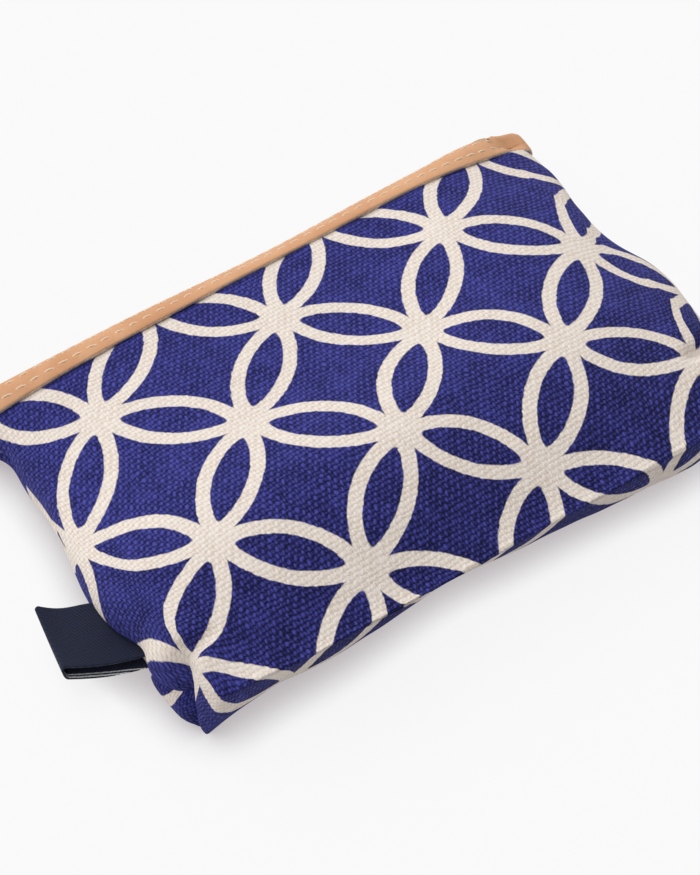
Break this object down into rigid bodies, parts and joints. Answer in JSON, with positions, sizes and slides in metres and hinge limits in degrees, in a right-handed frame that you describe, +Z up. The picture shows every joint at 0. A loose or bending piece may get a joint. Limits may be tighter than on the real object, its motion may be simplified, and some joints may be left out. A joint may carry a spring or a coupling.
{
  "type": "zip pouch",
  "caption": "Flat canvas zip pouch with boxed bottom corners, printed with overlapping circles, with a tan leather band round the mouth and a folded side label, lying on its back.",
  "frame": {"origin": "on the surface the pouch lies on, at the middle of the flat back panel between its two sides", "axes": "+X along the zip towards its closed end, +Y from the boxed bottom to the mouth, +Z up, out of the front panel"},
  "size_m": [0.141, 0.0902, 0.0239],
  "materials": {
    "printed_canvas": "matte plain-weave canvas, blue print on natural cream",
    "tan_leather": "smooth vegetable-tanned leather with pale raw edges",
    "zip_tape": "matte woven tape",
    "zip_brass": "antique brass, half polished",
    "slider_metal": "antique brass, polished on the raised edges",
    "label_navy": "dense matte woven ribbon"
  },
  "bodies": {
    "pouch": {"canvas_body": "printed_canvas", "front_leather_band": "tan_leather", "back_leather_band": "tan_leather", "front_zip_tape": "zip_tape", "back_zip_tape": "zip_tape", "front_zip_teeth": "zip_brass", "back_zip_teeth": "zip_brass", "front_top_stop": "zip_brass", "back_top_stop": "zip_brass", "bottom_stop": "zip_brass", "woven_label": "label_navy"},
    "slider_unit": {"slider": "slider_metal"},
    "pull_unit": {"zip_pull": "slider_metal"}
  },
  "joints": [
    {"name": "slider_travel", "type": "slide", "parent": "pouch", "child": "slider_unit", "axis": [1, 0, 0], "range_m": [-0.11, 0], "deforming": ["front_zip_teeth", "back_zip_teeth"]},
    {"name": "pull_swing", "type": "hinge", "parent": "slider_unit", "child": "pull_unit", "pos_m": [0.0593, 0.0491, 0.0069], "axis": [0, 0, -1], "range_deg": [0, 160]}
  ]
}
